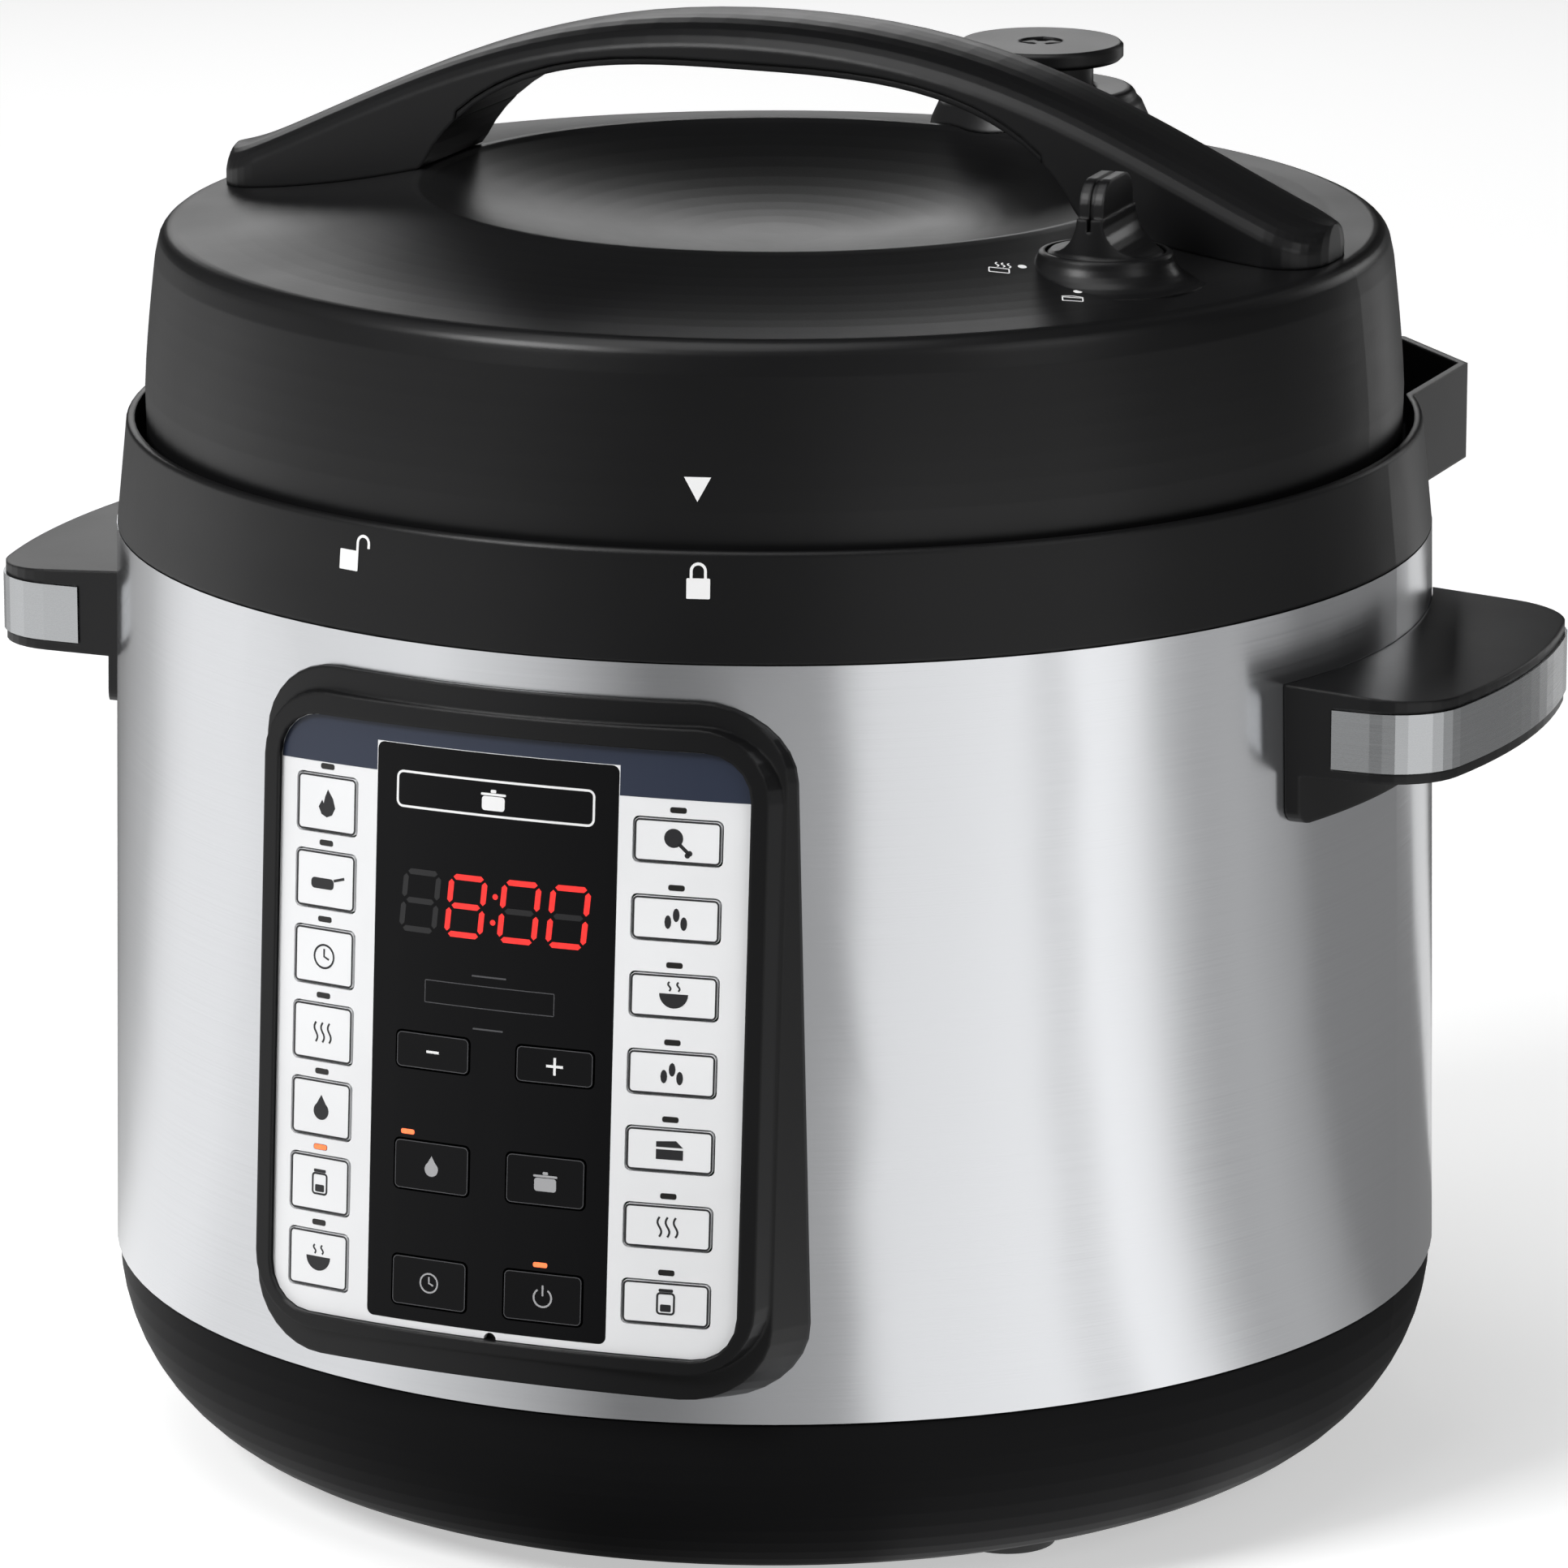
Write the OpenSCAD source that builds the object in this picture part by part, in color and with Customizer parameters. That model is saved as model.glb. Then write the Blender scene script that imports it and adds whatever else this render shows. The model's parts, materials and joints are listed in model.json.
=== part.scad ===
// Electric pressure cooker.
// Frame: +Z up, origin on the body axis at the level of the feet,
// front (control panel) towards -Y, side handles and lid handle along X.

/* [Steel shell] */
// Radius of the steel band at its lower edge
shell_r_low = 150; // [149.8:0.1:150.2]
// Radius of the steel band at its upper edge
shell_r_top = 147.2; // [147:0.1:147.4]
// Height of the lower edge of the steel band
shell_z_low = 46; // [45.5:0.5:46.5]
// Height of the upper edge of the steel band
shell_z_top = 211.7; // [211.5:0.1:211.8]
// Sheet thickness of the steel band
shell_t = 1; // [0.8:0.1:1.1]

/* [Base] */
// Radius of the flat underside of the base bowl
bowl_flat_r = 110; // [108:1:112]
// Height of the underside above the surface it stands on
foot_h = 2.5; // [2.2:0.1:2.8]
// Wall thickness of the base bowl
bowl_t = 3; // [2.6:0.1:3.2]

/* [Collar] */
// Outer radius of the collar at its rim
collar_r = 144.8; // [144.6:0.1:145]
// Height of the collar rim
collar_z_top = 235.5; // [235:0.5:236]

/* [Lid] */
// Outer radius of the lid skirt
skirt_r = 140.4; // [140:0.1:140.6]
// Radius of the lid shoulder
shoulder_r = 136.9; // [136.5:0.1:137.1]
// Height of the lid shoulder
shoulder_z = 278.6; // [278.3:0.1:278.9]
// Radius of the rim around the dished middle
rim_r = 80; // [79.8:0.1:80.2]
// Height of that rim
rim_z = 287; // [286.8:0.1:287.2]
// Height of the middle of the dish
dish_z = 275; // [274:0.5:276]
// Wall thickness of the lid cover
cover_t = 2.8; // [2.5:0.1:2.9]

/* [Pots] */
// Inside radius of the removable pot
pot_r = 112; // [111.8:0.1:112.1]
// Height of the inside floor of the removable pot
pot_floor_z = 78; // [77:0.5:78]
// Number of bayonet lugs
lugs = 5; // [5]
// Arc of one bayonet lug in degrees
lug_arc = 33; // [30:1:34]

/* [Control panel] */
// Lean of the panel from vertical in degrees
panel_tilt = 4.2; // [4:0.1:4.4]
// Width of the panel face
face_w = 109; // [108.8:0.1:109.2]
// Height of the panel face
face_h = 130.6; // [130.2:0.1:130.8]
// Width of the glossy window
window_w = 56; // [55.8:0.1:56.2]
// Gap around each key
key_gap = 0.45; // [0.4:0.05:0.5]

/* [Release knob and valves] */
// Angle that the release knob turns through, in degrees
knob_turn = 50; // [50]
// Lift of the steam valve
valve_lift = 3; // [3]

/* [Hidden] */

$fn = 96;
big = 500;
touch = 0.05;

// places on the lid
knob_at_r = 103.4;
knob_at_a = -24;
knob_seat_z = 283.2;
knob_ring_z = 286.1;
valve_at_r = 103.1;
valve_at_a = 76;
float_at_r = 104;
float_at_a = 105;
float_well_r = 11.7;

// pots and bayonet
pot_t = 1.5;
outer_pot_r = 121;
outer_pot_t = 1.4;
outer_pot_z0 = 52;
outer_pot_z1 = 234;
pot_flange_z = outer_pot_z1 + 0.1;
lug_r = 132;
lug_z0 = 231.5;
lid_lug_z0 = 227.4;
lid_lug_t = 3.4;
lug_pitch = 360 / lugs;
lid_lug_offset = -4;
plate_r = 135.5;
plate_t = 1.6;

// control panel frame
panel_y = -153.3;
panel_z = 129.8;
face_v = -0.8;
face_corner = 10;
face_bow_r = 227;
fascia_t = 1.6;
key_t = 2.2;
row_pitch = 16.6;
first_row_v = 45.2;
left_column_x = -42.5;
right_column_x = 39;
left_key = [15.6, 12.6];
right_key = [19.2, 9.6];
key_corner = 1.2;
led_size = [3.6, 1.3];
left_led_v = 8.1;
right_led_v = 6.7;
// window keys: centre x, centre v, width, height
window_keys = [
  [-15, -5.3, 17.6, 8], [13.4, -5.3, 17.6, 8],
  [-14.7, -30.3, 18, 11], [11.9, -30.3, 18, 11],
  [-14.7, -55.7, 18, 11], [11.9, -55.7, 18, 11]
];
window_leds = [[-20.6, -23.2], [11.2, -48.6]];
window_h = 125;
window_v = -2;
window_x = -1.8;

// side handles
handle_z_top = 196;
handle_h = 20;
handle_slope = 3.5;
handle_out_r = 178.6;
handle_half_w = 49.6;
trim_z0 = 178.4;
trim_h = 13;

// ---------- helpers ----------

function arc(c, r, a0, a1, n) =
  [for (i = [0:n]) c + r * [cos(a0 + (a1 - a0) * i / n), sin(a0 + (a1 - a0) * i / n)]];

function round_rect(w, h, r, n = 5) = concat(
  arc([w / 2 - r, h / 2 - r], r, 0, 90, n), arc([r - w / 2, h / 2 - r], r, 90, 180, n),
  arc([r - w / 2, r - h / 2], r, 180, 270, n), arc([w / 2 - r, r - h / 2], r, 270, 360, n));

function reversed(p) = [for (i = [len(p) - 1:-1:0]) p[i]];

function shell_r(z) =
  shell_r_low + (shell_r_top - shell_r_low) * (z - shell_z_low) / (shell_z_top - shell_z_low);

module plate(w, h, r, t) {
  linear_extrude(t) polygon(round_rect(w, h, r));
}

// places children on the panel: x across, y up the face, z out of it
module on_panel(x = 0, v = 0, w = 0) {
  translate([0, panel_y, panel_z]) rotate([90 - panel_tilt, 0, 0]) translate([x, v, w]) children();
}

// moves children from the flat middle of the panel to a place on its bowed face
module on_bow(x, v) {
  lean = asin(x / face_bow_r);
  translate([x, v, face_bow_r * (cos(lean) - 1)]) rotate([0, lean, 0]) children();
}

// solid whose top follows a bow of radius r across the panel, lifted by lift in the middle
module bow_solid(r, lift) {
  translate([0, 0, lift - r]) rotate([90, 0, 0]) cylinder(r = r, h = 240, center = true);
}

module polar(r, a) {
  rotate([0, 0, a]) translate([r, 0, 0]) children();
}

// cone frustum that follows the steel band, offset outwards by grow
module band_core(grow) {
  z0 = shell_z_low - 30;
  z1 = shell_z_top + 30;
  rotate_extrude()
    polygon([[0, z0], [shell_r(z0) + grow, z0], [shell_r(z1) + grow, z1], [0, z1]]);
}

// ring sector wedges, used to keep or remove lugs
module wedges(count, width, offset_a, z0, z1) {
  reach = 200;
  for (i = [0:count - 1])
    rotate([0, 0, i * 360 / count + offset_a])
      translate([0, 0, z0])
        linear_extrude(z1 - z0)
          polygon([[0, 0], reach * [cos(width / 2), -sin(width / 2)], [reach, 0],
                   reach * [cos(width / 2), sin(width / 2)]]);
}

// ---------- body ----------

module outer_shell() {
  color([0.78, 0.79, 0.8])
    difference() {
      rotate_extrude()
        polygon([[shell_r_low - shell_t, shell_z_low], [shell_r_low, shell_z_low],
                 [shell_r_top, shell_z_top], [shell_r_top - shell_t, shell_z_top]]);
      translate([-53.5, -160, 63]) cube([107, 80, 134]);
      for (s = [-1, 1])
        for (y = [-30, 30])
          translate([s * 130, y, 186]) rotate([0, s * 90, 0]) cylinder(r = 2.3, h = 40);
    }
}

function bowl_profile(inset, z_low) = concat(
  [[0, z_low], [bowl_flat_r, z_low]],
  [for (i = [1:14])
    let (a = 90 - i * 90 / 14)
    [bowl_flat_r + (149.4 - inset - bowl_flat_r) * cos(a), 45.4 - (45.4 - z_low) * sin(a)]],
  [[0, 45.4]]);

module base_housing() {
  lip_r = shell_r_low - shell_t - 0.3;
  color([0.07, 0.07, 0.07])
    difference() {
      union() {
        difference() {
          rotate_extrude() polygon(bowl_profile(0, foot_h));
          rotate_extrude() polygon(concat(bowl_profile(bowl_t, foot_h + bowl_t), [[0, 60]]));
        }
        // lip that the steel band slips over
        translate([0, 0, 41])
          difference() {
            cylinder(r = lip_r, h = 11);
            translate([0, 0, -1]) cylinder(r = lip_r - 2.4, h = 13);
          }
        // posts that carry the outer pot
        for (i = [0:3]) polar(108, 45 + 90 * i) translate([0, 0, 5]) cylinder(r = 6, h = 46.95);
        // pegs under the power board
        for (x = [-40, 40])
          for (y = [-28, 28])
            translate([x, y, 5]) cylinder(r = 3, h = 6.95);
      }
      // vent slots in the floor
      for (i = [-5:5]) translate([i * 9 - 1.6, 52, -1]) cube([3.2, 34, 12]);
      for (i = [-5:5]) translate([i * 9 - 1.6, -86, -1]) cube([3.2, 34, 12]);
      // feet and their screws
      for (i = [0:3])
        polar(104, 52 * (i % 2 == 0 ? 1 : -1) + (i < 2 ? 90 : 270)) {
          translate([0, 0, -1]) cylinder(r = 12.05, h = 5);
          cylinder(r = 2.1, h = 20);
        }
      // opening for the power inlet
      translate([0, 118, 28]) rotate([-90, 0, 0]) plate(30.2, 22.2, 3.6, 40);
    }
}

module feet() {
  color([0.09, 0.09, 0.09])
    for (i = [0:3])
      polar(104, 52 * (i % 2 == 0 ? 1 : -1) + (i < 2 ? 90 : 270))
        difference() {
          cylinder(r1 = 10.8, r2 = 12, h = 3.95);
          translate([0, 0, -1]) cylinder(r = 4.2, h = 3);
          cylinder(r = 2.1, h = 10);
        }
}

pocket_outer = [[120, 62], [128, 66], [128, 105], [105, 128], [66, 128], [62, 120]];
pocket_inner = [[118, 66], [126, 67.5], [126, 104.2], [104.2, 126], [67.5, 126], [66, 118]];

module upper_collar() {
  rim_t = 1.9;
  color([0.08, 0.08, 0.08])
    difference() {
      union() {
        rotate_extrude()
          polygon(concat(
            [[124.8, 213], [143.6, 213], [143.6, 205], [145.7, 205], [145.9, 212], [147.1, 212]],
            arc([collar_r - rim_t / 2, collar_z_top - rim_t / 2], rim_t / 2, 10, 90, 5),
            [[124.8, collar_z_top]]));
        translate([0, 0, 213.5]) linear_extrude(collar_z_top - 213.5) polygon(pocket_outer);
      }
      // space that the lid turns in
      translate([0, 0, 216]) cylinder(r = 142.9, h = 40);
      translate([0, 0, 216]) linear_extrude(40) polygon(pocket_inner);
      translate([0, 0, 200]) cylinder(r = 124.8, h = 40);
    }
}

module outer_pot() {
  color([0.8, 0.8, 0.8])
    difference() {
      union() {
        rotate_extrude()
          polygon([[33, outer_pot_z0], [outer_pot_r + outer_pot_t, outer_pot_z0],
                   [outer_pot_r + outer_pot_t, lug_z0], [lug_r, lug_z0], [lug_r, outer_pot_z1],
                   [outer_pot_r, outer_pot_z1], [outer_pot_r, outer_pot_z0 + outer_pot_t],
                   [33, outer_pot_z0 + outer_pot_t]]);
      }
      // gaps between the bayonet lugs
      difference() {
        wedges(lugs, lug_pitch - lug_arc, lug_pitch / 2, lug_z0 - 1, outer_pot_z1 + 1);
        cylinder(r = 124.6, h = big);
      }
    }
}

module heating_plate() {
  color([0.72, 0.72, 0.73])
    difference() {
      union() {
        translate([0, 0, 63]) cylinder(r = 98, h = 12.2);
        // tubular element cast into the underside
        translate([0, 0, 58])
          difference() {
            cylinder(r = 79, h = 6);
            translate([0, 0, -1]) cylinder(r = 69, h = 8);
          }
        for (i = [0:2]) polar(90, 90 + 120 * i) translate([0, 0, outer_pot_z0 + outer_pot_t + touch])
          cylinder(r = 4, h = 12);
      }
      translate([0, 0, 50]) cylinder(r = 14, h = 40);
    }
}

module temperature_sensor() {
  color([0.75, 0.75, 0.76])
    union() {
      translate([0, 0, 72]) cylinder(r = 12.5, h = 3.45);
      translate([0, 0, 58]) cylinder(r = 5, h = 15);
    }
}

module sensor_spring() {
  wire_r = 0.7;
  coil_r = 8.2;
  turns = 4;
  steps = 18;
  z0 = 52;
  height = 19;
  color([0.6, 0.6, 0.6])
    loft([for (i = [0:turns * steps])
      [for (j = [0:7])
        let (a = 360 * i / steps, b = 360 * j / 8, r = coil_r + wire_r * cos(b))
        [r * cos(a), r * sin(a), z0 + height * i / (turns * steps) + wire_r * sin(b)]]]);
}

module elastic_plate() {
  color([0.55, 0.56, 0.58])
    difference() {
      union() {
        translate([-75, -14, 47]) cube([150, 28, 2]);
        for (s = [-1, 1]) translate([s * 60, 0, 49]) cylinder(r = 5, h = 2.95);
        translate([0, 0, 49]) cylinder(r = 16, h = 6.5);
      }
      translate([0, 0, 40]) cylinder(r = 5.4, h = 30);
      translate([0, 0, 51]) cylinder(r = 12, h = 10);
    }
}

module pressure_switch() {
  color([0.85, 0.82, 0.7])
    union() {
      translate([-46, -8, 34]) cube([22, 16, 11]);
      translate([-35, 0, 45]) cylinder(r = 2.4, h = 1.95);
      for (x = [-42, -28]) translate([x - 1, -3, 28]) cube([2, 6, 6.1]);
    }
}

module thermal_fuse() {
  color([0.9, 0.9, 0.86])
    translate([48, -14, 59.4]) rotate([-90, 0, 0])
      union() {
        cylinder(r = 3.5, h = 28);
        translate([0, 0, -5]) cylinder(r = 1, h = 38);
      }
}

module power_board() {
  color([0.1, 0.35, 0.2])
    union() {
      translate([-46, -34, 12]) cube([92, 68, 1.6]);
      translate([-36, -20, 13.5]) cube([20, 16, 16]);
      translate([14, -24, 13.5]) cube([26, 22, 20]);
      translate([-34, 8, 13.5]) cube([26, 18, 12]);
      for (x = [2, 18, 32]) translate([x, 18, 13.5]) cylinder(r = 5, h = 15);
    }
}

// ---------- control panel ----------

module rounded_slab(w, h, r, z) {
  translate([0, 0, z]) linear_extrude(0.01) polygon(round_rect(w, h, r, 8));
}

// layer of the bowed face, t thick, cut to the outline given as a child
module face_layer(t) {
  difference() {
    intersection() {
      translate([0, 0, -30]) linear_extrude(40) children();
      bow_solid(face_bow_r, 0);
    }
    bow_solid(face_bow_r - t, -t);
  }
}

module panel_bezel() {
  ledge_lift = 0.9;
  rim_lift = 1.5;
  seat_t = fascia_t + 0.2;
  color([0.1, 0.1, 0.1])
    difference() {
      union() {
        difference() {
          on_panel() {
            // ledge that follows the steel band
            intersection() {
              hull() {
                translate([0, -1.8]) rounded_slab(138, 154, 19, -34);
                translate([0, 0.1]) rounded_slab(110.4, 149.2, 15, 1.6);
              }
              bow_solid(-panel_y, ledge_lift);
            }
            // rim round the face
            intersection() {
              hull() {
                rounded_slab(122, 141.4, 17, -16);
                rounded_slab(112.4, 138.2, 14, 1.8);
              }
              bow_solid(face_bow_r, rim_lift);
            }
          }
          band_core(0.2);
        }
        // tub that passes through the opening in the steel band
        on_panel(0, 0, -13) plate(105, 129, 7, 11);
      }
      on_panel()
        difference() {
          translate([0, face_v, -12]) plate(face_w + 0.3, face_h + 0.3, face_corner, 20);
          bow_solid(face_bow_r - seat_t, -seat_t);
        }
      // opening behind the face
      on_panel(0, 0, -40) plate(101, 125, 2, 60);
      // keep clear of the rotating parts of the body behind the tub
      translate([0, 0, 40]) cylinder(r = 126, h = 180);
    }
}

module key_shape(size, z0, t, grow = 0) {
  translate([0, 0, z0])
    plate(size[0] + 2 * grow, size[1] + 2 * grow, key_corner + grow, t);
}

function row_v(row) = first_row_v - row_pitch * row;

module panel_fascia() {
  color([0.8, 0.81, 0.82])
    on_panel()
      difference() {
        face_layer(fascia_t)
          translate([0, face_v]) polygon(round_rect(face_w, face_h, face_corner - 0.2));
        translate([window_x, window_v, -10]) plate(window_w, window_h, 1.6, 20);
        for (row = [0:6]) {
          on_bow(left_column_x, row_v(row)) key_shape(left_key, -5, 10, key_gap / 2);
          on_bow(right_column_x, row_v(row)) key_shape(right_key, -5, 10, key_gap / 2);
          on_bow(left_column_x, row_v(row) + left_led_v) key_led_hole();
          on_bow(right_column_x, row_v(row) + right_led_v) key_led_hole();
        }
        // finger notch in the lower edge
        translate([0, face_v - face_h / 2, -5]) cylinder(r = 1.4, h = 10, $fn = 32);
      }
}

module key_led_hole() {
  translate([0, 0, -5]) plate(led_size[0], led_size[1], 0.5, 10);
}

module display_window() {
  color([0.02, 0.02, 0.02])
    on_panel()
      difference() {
        face_layer(fascia_t)
          translate([window_x, window_v]) polygon(round_rect(window_w - 0.1, window_h - 0.1, 1.5));
        for (k = window_keys) on_bow(k[0], k[1]) key_shape([k[2], k[3]], -5, 10, key_gap / 2);
        for (led = window_leds) on_bow(led[0], led[1]) key_led_hole();
      }
}

module led_display() {
  color([0.15, 0.03, 0.03])
    on_panel(window_x, 27.5, -8.6) translate([-24, -9, 0]) cube([48, 18, 5.2]);
}

module indicator_lenses() {
  color([0.25, 0.1, 0.05])
    on_panel() {
      for (row = [0:6]) {
        on_bow(left_column_x, row_v(row) + left_led_v) lens();
        on_bow(right_column_x, row_v(row) + right_led_v) lens();
      }
      for (led = window_leds) on_bow(led[0], led[1]) lens();
    }
}

module lens() {
  translate([0, 0, -2.4]) plate(led_size[0] - 0.1, led_size[1] - 0.1, 0.45, 2.4);
}

module key(x, v, size) {
  on_panel() on_bow(x, v) key_shape(size, -key_t, key_t, -key_gap / 2);
}

module left_column_key(row) {
  color([0.84, 0.85, 0.86]) key(left_column_x, row_v(row), left_key);
}

module right_column_key(row) {
  color([0.84, 0.85, 0.86]) key(right_column_x, row_v(row), right_key);
}

module window_key(i) {
  color([0.03, 0.03, 0.03])
    key(window_keys[i][0], window_keys[i][1], [window_keys[i][2], window_keys[i][3]]);
}

module control_board() {
  board_w = -11.4;
  color([0.1, 0.35, 0.2])
    on_panel() {
      difference() {
        union() {
          translate([-49.5, -61.5, board_w]) cube([99, 123, 1.6]);
          // switches under the keys
          for (row = [0:6])
            for (x = [left_column_x, right_column_x])
              translate([x - 3, row_v(row) - 3, board_w + 1.4]) cube([6, 6, 2.6]);
          for (k = window_keys) translate([k[0] - 3, k[1] - 3, board_w + 1.4]) cube([6, 6, 5.6]);
        }
        for (x = [-46, 46])
          for (v = [-59, 59])
            translate([x, v, -13]) cylinder(r = 1.6, h = 6);
      }
    }
}

module power_inlet() {
  color([0.05, 0.05, 0.05])
    difference() {
      union() {
        translate([0, 124, 28]) rotate([-90, 0, 0]) plate(30, 22, 3.5, 23);
        for (x = [-7, 0, 7])
          translate([x - 1, 120, x == 0 ? 30 : 24]) cube([2, 6, 4]);
      }
      translate([0, 128, 28]) rotate([-90, 0, 0]) plate(24.5, 16.6, 3, 30);
    }
  color([0.8, 0.75, 0.5])
    for (x = [-7, 0, 7])
      translate([x - 1, 127.9, x == 0 ? 30 : 24]) cube([2, 14, 4]);
}

// ---------- side handles ----------

function handle_plan(out_r, half_w, corner) =
  let (centre_r = out_r - corner, cy = half_w - corner, cx = sqrt(centre_r * centre_r - cy * cy),
       a = asin(cy / centre_r))
  concat([[125, half_w], [125, -half_w]], arc([cx, -cy], corner, -90, -a, 8),
         arc([0, 0], out_r, -a, a, 12), arc([cx, cy], corner, a, 90, 8));

module side_handle(side) {
  z_low = handle_z_top - handle_h;
  flange_z_low = 164.8;
  trim_depth = 1.5;
  scale([side, 1, 1])
    color([0.08, 0.08, 0.08])
      difference() {
        union() {
          translate([0, 0, z_low])
            linear_extrude(handle_h) polygon(handle_plan(handle_out_r - 0.6, handle_half_w, 16));
          // flange that lies on the steel band below the grip
          intersection() {
            difference() {
              band_core(3.2);
              band_core(0.1);
            }
            translate([100, 0, (handle_z_top + flange_z_low) / 2])
              rotate([90, 0, 90]) plate(2 * handle_half_w, handle_z_top - flange_z_low - 0.4, 3.5, 60);
          }
        }
        band_core(0.1);
        // top that falls away towards the outside
        translate([138, -80, handle_z_top]) rotate([0, handle_slope, 0]) cube([60, 160, 10]);
        // finger hollow under the grip, open downwards
        translate([0, 0, z_low - 1])
          linear_extrude(handle_h - 4.6) polygon(grip_hollow);
        // seat for the metal trim
        translate([0, 0, trim_z0 - 0.1])
          linear_extrude(trim_h + 0.2)
            difference() {
              polygon([[149.9, -70], [200, -70], [200, 70], [149.9, 70]]);
              polygon(handle_plan(handle_out_r - trim_depth, handle_half_w - trim_depth + 0.4, 15));
            }
        for (y = [-30, 30]) translate([140, y, 186]) rotate([0, 90, 0]) cylinder(r = 1.9, h = 14);
      }
}

grip_hollow = [[156.5, -38], [161, -38], [169, -25], [171.5, 0], [169, 25], [161, 38], [156.5, 38]];

module side_handle_left() {
  side_handle(-1);
}

module side_handle_right() {
  side_handle(1);
}

module handle_trims() {
  color([0.8, 0.8, 0.82])
    for (side = [-1, 1])
      scale([side, 1, 1])
        translate([0, 0, trim_z0])
          linear_extrude(trim_h)
            intersection() {
              difference() {
                polygon(handle_plan(handle_out_r, handle_half_w + 0.5, 16.5));
                polygon(handle_plan(handle_out_r - 1.4, handle_half_w - 1, 15.1));
              }
              translate([150, -100]) square([60, 200]);
            }
}

module screw(head_r, head_h, shaft_r, length) {
  union() {
    cylinder(r = head_r, h = head_h);
    translate([0, 0, head_h - 0.01]) cylinder(r = shaft_r, h = length);
  }
}

module case_screws() {
  color([0.6, 0.6, 0.62]) {
    for (i = [0:3])
      polar(104, 52 * (i % 2 == 0 ? 1 : -1) + (i < 2 ? 90 : 270))
        translate([0, 0, 1.0]) difference() {
          screw(4, 0.95, 2, 8);
          translate([-0.5, -3, -1]) cube([1, 6, 1.5]);
        }
    for (s = [-1, 1])
      for (y = [-30, 30])
        translate([s * 140.5, y, 186]) rotate([0, s * 90, 0]) screw(3.5, 2, 1.8, 10);
  }
}

// ---------- pot and sealing ring ----------

module inner_pot() {
  corner = 14;
  rim_out = 122.6;
  outer_r = pot_r + pot_t;
  bottom = pot_floor_z - 2.4;
  color([0.75, 0.76, 0.77])
    rotate_extrude()
      polygon(concat(
        [[0, bottom]],
        arc([outer_r - corner, bottom + corner], corner, -90, 0, 8),
        [[outer_r, pot_flange_z], [rim_out, pot_flange_z]],
        arc([rim_out, pot_flange_z + 0.8], 0.8, -60, 60, 4),
        [[rim_out, pot_flange_z + 1.6], [pot_r + 0.8, pot_flange_z + 1.6],
         [pot_r, pot_flange_z + 0.6]],
        arc([pot_r - corner + 1, pot_floor_z + corner - 1], corner - 1, 0, -90, 8),
        [[0, pot_floor_z]]));
}

module sealing_ring() {
  z0 = pot_flange_z + 1.7;
  color([0.85, 0.85, 0.82])
    rotate_extrude()
      polygon([[113.6, z0], [121.6, z0], [121.9, z0 + 4], [121.2, z0 + 7], [121.9, z0 + 11.9],
               [113.6, z0 + 11.9], [113.6, z0 + 9], [118.4, z0 + 8], [118.6, z0 + 4],
               [113.6, z0 + 3]]);
}

// ---------- lid ----------

function annulus_z(r) =
  shoulder_z + (rim_z - shoulder_z) * pow((shoulder_r - r) / (shoulder_r - rim_r), 1.8);

function dish(r) = dish_z + (rim_z - 0.3 - dish_z) * pow(r / rim_r, 2.2);

function skirt_at(z) = skirt_r - (skirt_r - shoulder_r) * pow((z - 243) / (shoulder_z - 243), 1.3);

// outside outline of the lid, from the foot of the skirt to the middle, drop moves it down
function lid_outline(drop = 0) = concat(
  [for (z = [243:5:268]) [skirt_at(z) - drop, z]],
  [[skirt_at(271.5) - drop, 271.5]],
  arc([shoulder_r - 4.2 - drop, shoulder_z - 4.4 - drop], 4.4, 8, 85, 6),
  [for (r = [129:-5:84]) [r, annulus_z(r) - drop]],
  [[82.5, annulus_z(82.5) - drop], [80.6, rim_z - 0.25 - drop], [79.2, rim_z - 0.35 - drop],
   [77.4, dish(77.4) - drop]],
  [for (r = [72:-6:12]) [r, dish(r) - drop]],
  [[0, dish(0) - drop]]);

module lid_solid(grow = 0) {
  rotate_extrude() polygon(concat([[0, 240], [skirt_r + grow, 240]], lid_outline(-grow)));
}

module lid_cover() {
  in_wall = 1.3;
  color([0.1, 0.1, 0.1])
    difference() {
      union() {
        rotate_extrude()
          polygon(concat([[skirt_r - cover_t, 226.5], [skirt_r - 0.2, 226.5]], lid_outline(),
                         reversed(lid_outline(cover_t))));
        // raised seat of the release knob
        difference() {
          polar(knob_at_r, knob_at_a)
            rotate_extrude()
              polygon(concat([[0, 270], [21.6, 270]], arc([21.6, knob_ring_z + 0.6], 7.2, 270, 188, 7),
                             [[13.9, knob_ring_z], [0, knob_ring_z]]));
          lid_solid(-in_wall);
        }
        // wall of the float valve well, and posts that meet the steel lid plate
        intersection() {
          lid_solid(-in_wall);
          union() {
            polar(float_at_r, float_at_a) translate([0, 0, 262]) cylinder(r = float_well_r + 1.6, h = 40);
            for (i = [0:2]) polar(58, 30 + 120 * i) translate([0, 0, 256.7]) cylinder(r = 5, h = 40);
          }
        }
      }
      polar(valve_at_r, valve_at_a) translate([0, 0, 255]) cylinder(r = 13.4, h = 60);
      polar(float_at_r, float_at_a) translate([0, 0, 255]) cylinder(r = float_well_r, h = 60);
      polar(knob_at_r, knob_at_a) {
        translate([0, 0, knob_seat_z]) cylinder(r = 13.1, h = 20);
        translate([0, 0, 260]) cylinder(r = 4.5, h = 60);
      }
      for (i = [0:2]) polar(58, 30 + 120 * i) translate([0, 0, 250]) cylinder(r = 1.9, h = 20);
      for (x = [-104, 104]) translate([x, 0, 260]) cylinder(r = 2, h = 60);
    }
}

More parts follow.
